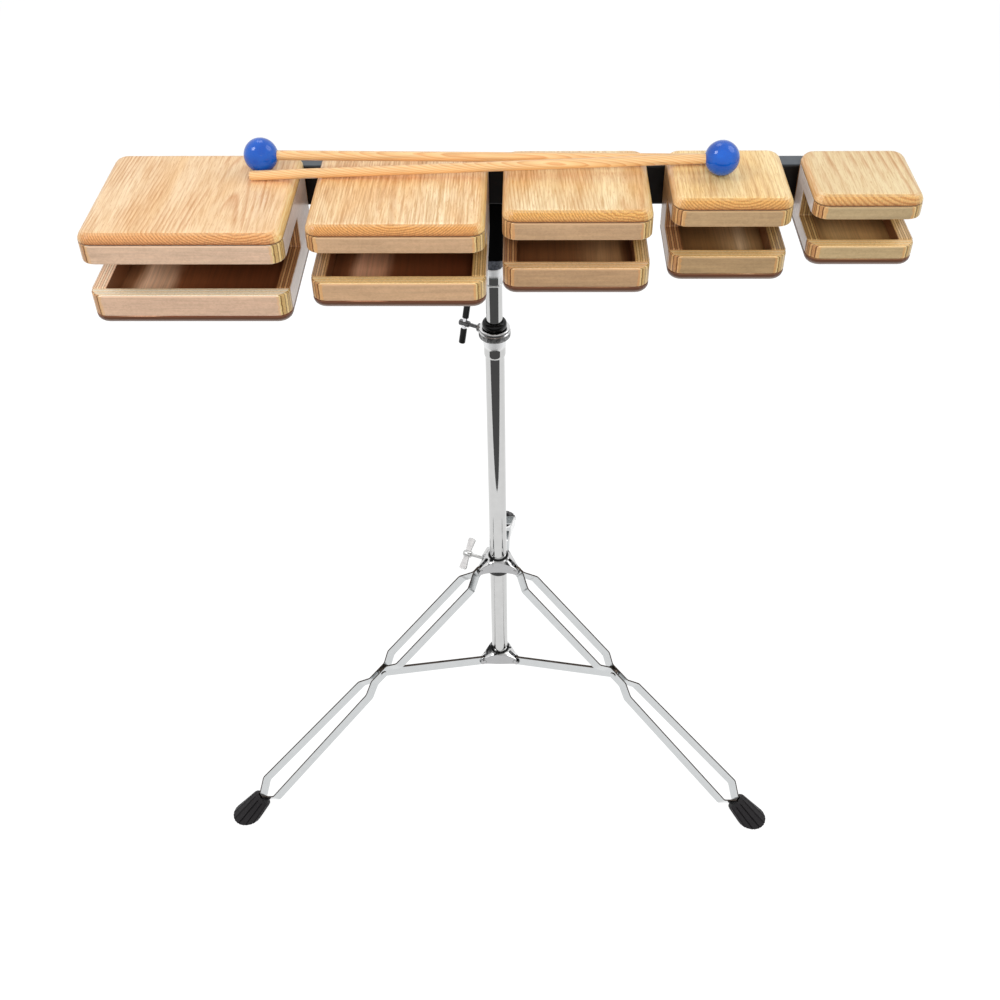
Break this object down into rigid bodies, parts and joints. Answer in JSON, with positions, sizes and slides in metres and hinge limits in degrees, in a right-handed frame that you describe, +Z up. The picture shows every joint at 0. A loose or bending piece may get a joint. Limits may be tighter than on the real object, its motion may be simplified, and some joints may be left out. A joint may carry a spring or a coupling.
{
  "type": "temple blocks",
  "caption": "Row of hollow wooden slit blocks of falling size on a black bar, on a chrome folding tripod stand, with ball-headed mallets lying on top",
  "frame": {"origin": "on the floor under the middle of the whole object's bounding box, with the three feet on the ground", "axes": "+Z up along the stand's tube, +X along the bar from the largest block to the smallest, +Y away from the player, toward the single rear leg"},
  "size_m": [0.674, 0.5467, 0.7889],
  "materials": {
    "lid": "clear lacquered beech",
    "base": "dark lacquered plywood",
    "side": "lacquered birch plywood",
    "back": "lacquered birch plywood",
    "front_upper": "lacquered birch plywood",
    "front_lower": "lacquered birch plywood",
    "bar": "black powder coat",
    "stem": "black powder coat",
    "stem_ring": "dark grey plastic",
    "upper_tube": "bright chrome plate",
    "bushing": "black nylon",
    "clamp_collar": "chrome plated die casting",
    "height_bolt": "dark steel with black sleeves",
    "base_tube": "bright chrome plate",
    "leg_hub": "chrome plated stamping",
    "hub_bush": "black nylon",
    "hub_bolt": "satin chrome",
    "bracket": "chrome plated stamping",
    "leg": "chrome plated flat steel",
    "stay": "chrome plated flat steel",
    "foot": "black ribbed rubber",
    "mallet_stick": "clear lacquered beech",
    "mallet_ball": "blue moulded ball"
  },
  "bodies": {
    "stand": {"base_tube": "base_tube", "clamp_collar": "clamp_collar", "bushing": "bushing", "bracket": "bracket"},
    "upper_mast": {"upper_tube": "upper_tube"},
    "block_row": {"bar": "bar", "stem": "stem", "stem_ring": "stem_ring", "block_1_lid": "lid", "block_1_base": "base", "block_1_back": "back", "block_1_front_upper": "front_upper", "block_1_front_lower": "front_lower", "block_1_side_left": "side", "block_1_side_right": "side", "block_2_lid": "lid", "block_2_base": "base", "block_2_back": "back", "block_2_front_upper": "front_upper", "block_2_front_lower": "front_lower", "block_2_side_left": "side", "block_2_side_right": "side", "block_3_lid": "lid", "block_3_base": "base", "block_3_back": "back", "block_3_front_upper": "front_upper", "block_3_front_lower": "front_lower", "block_3_side_left": "side", "block_3_side_right": "side", "block_4_lid": "lid", "block_4_base": "base", "block_4_back": "back", "block_4_front_upper": "front_upper", "block_4_front_lower": "front_lower", "block_4_side_left": "side", "block_4_side_right": "side", "block_5_lid": "lid", "block_5_base": "base", "block_5_back": "back", "block_5_front_upper": "front_upper", "block_5_front_lower": "front_lower", "block_5_side_left": "side", "block_5_side_right": "side"},
    "height_bolt": {"height_bolt": "height_bolt"},
    "leg_slider": {"leg_hub": "leg_hub", "hub_bush": "hub_bush"},
    "hub_bolt": {"hub_bolt": "hub_bolt"},
    "leg_1": {"leg_1": "leg", "foot_1": "foot"},
    "stay_1": {"stay_1": "stay"},
    "leg_2": {"leg_2": "leg", "foot_2": "foot"},
    "stay_2": {"stay_2": "stay"},
    "leg_3": {"leg_3": "leg", "foot_3": "foot"},
    "stay_3": {"stay_3": "stay"},
    "mallet_rear": {"mallet_rear_ball": "mallet_ball", "mallet_rear_stick": "mallet_stick"},
    "mallet_front": {"mallet_front_ball": "mallet_ball", "mallet_front_stick": "mallet_stick"}
  },
  "joints": [
    {"name": "mast_height", "type": "slide", "parent": "stand", "child": "upper_mast", "axis": [0, 0, 1], "range_m": [-0.0405, 0.25]},
    {"name": "bar_swivel", "type": "hinge", "parent": "upper_mast", "child": "block_row", "pos_m": [-0.01375, -0.08547, 0.645], "axis": [0, 0, 1], "continuous": true},
    {"name": "height_bolt_turn", "type": "hinge", "parent": "stand", "child": "height_bolt", "pos_m": [-0.04333, -0.06975, 0.564], "axis": [-0.8829, 0.4695, 0], "continuous": true},
    {"name": "hub_slide", "type": "slide", "parent": "stand", "child": "leg_slider", "axis": [0, 0, 1], "range_m": [0, 0.14907]},
    {"name": "hub_bolt_turn", "type": "hinge", "parent": "leg_slider", "child": "hub_bolt", "pos_m": [-0.04945, -0.07105, 0.2488], "axis": [-0.9272, 0.3746, 0], "continuous": true},
    {"name": "leg_1_fold", "type": "hinge", "parent": "leg_slider", "child": "leg_1", "pos_m": [-0.01375, -0.06098, 0.248], "axis": [-1, 0, 0], "range_deg": [0, 52.05]},
    {"name": "stay_1_fold", "type": "hinge", "parent": "stand", "child": "stay_1", "pos_m": [-0.01375, -0.06098, 0.093], "axis": [1, 0, 0], "range_deg": [0, 67.36]},
    {"name": "leg_2_fold", "type": "hinge", "parent": "leg_slider", "child": "leg_2", "pos_m": [-0.03497, -0.09773, 0.248], "axis": [0.5, -0.866, 0], "range_deg": [0, 52.05]},
    {"name": "stay_2_fold", "type": "hinge", "parent": "stand", "child": "stay_2", "pos_m": [-0.03497, -0.09773, 0.093], "axis": [-0.5, 0.866, 0], "range_deg": [0, 67.36]},
    {"name": "leg_3_fold", "type": "hinge", "parent": "leg_slider", "child": "leg_3", "pos_m": [0.00747, -0.09773, 0.248], "axis": [0.5, 0.866, 0], "range_deg": [0, 52.05]},
    {"name": "stay_3_fold", "type": "hinge", "parent": "stand", "child": "stay_3", "pos_m": [0.00747, -0.09773, 0.093], "axis": [-0.5, -0.866, 0], "range_deg": [0, 67.36]},
    {"name": "mallet_rear_lift", "type": "slide", "parent": "block_row", "child": "mallet_rear", "axis": [0, 0, 1], "range_m": [0, 0.25]},
    {"name": "mallet_front_lift", "type": "slide", "parent": "block_row", "child": "mallet_front", "axis": [0, 0, 1], "range_m": [0, 0.25]}
  ],
  "couplings": [
    {"joint": "leg_1_fold", "follows": "hub_slide", "rad_per_m": 6.088},
    {"joint": "stay_1_fold", "follows": "hub_slide", "rad_per_m": 7.881},
    {"joint": "leg_2_fold", "follows": "hub_slide", "rad_per_m": 6.088},
    {"joint": "stay_2_fold", "follows": "hub_slide", "rad_per_m": 7.881},
    {"joint": "leg_3_fold", "follows": "hub_slide", "rad_per_m": 6.088},
    {"joint": "stay_3_fold", "follows": "hub_slide", "rad_per_m": 7.881}
  ]
}
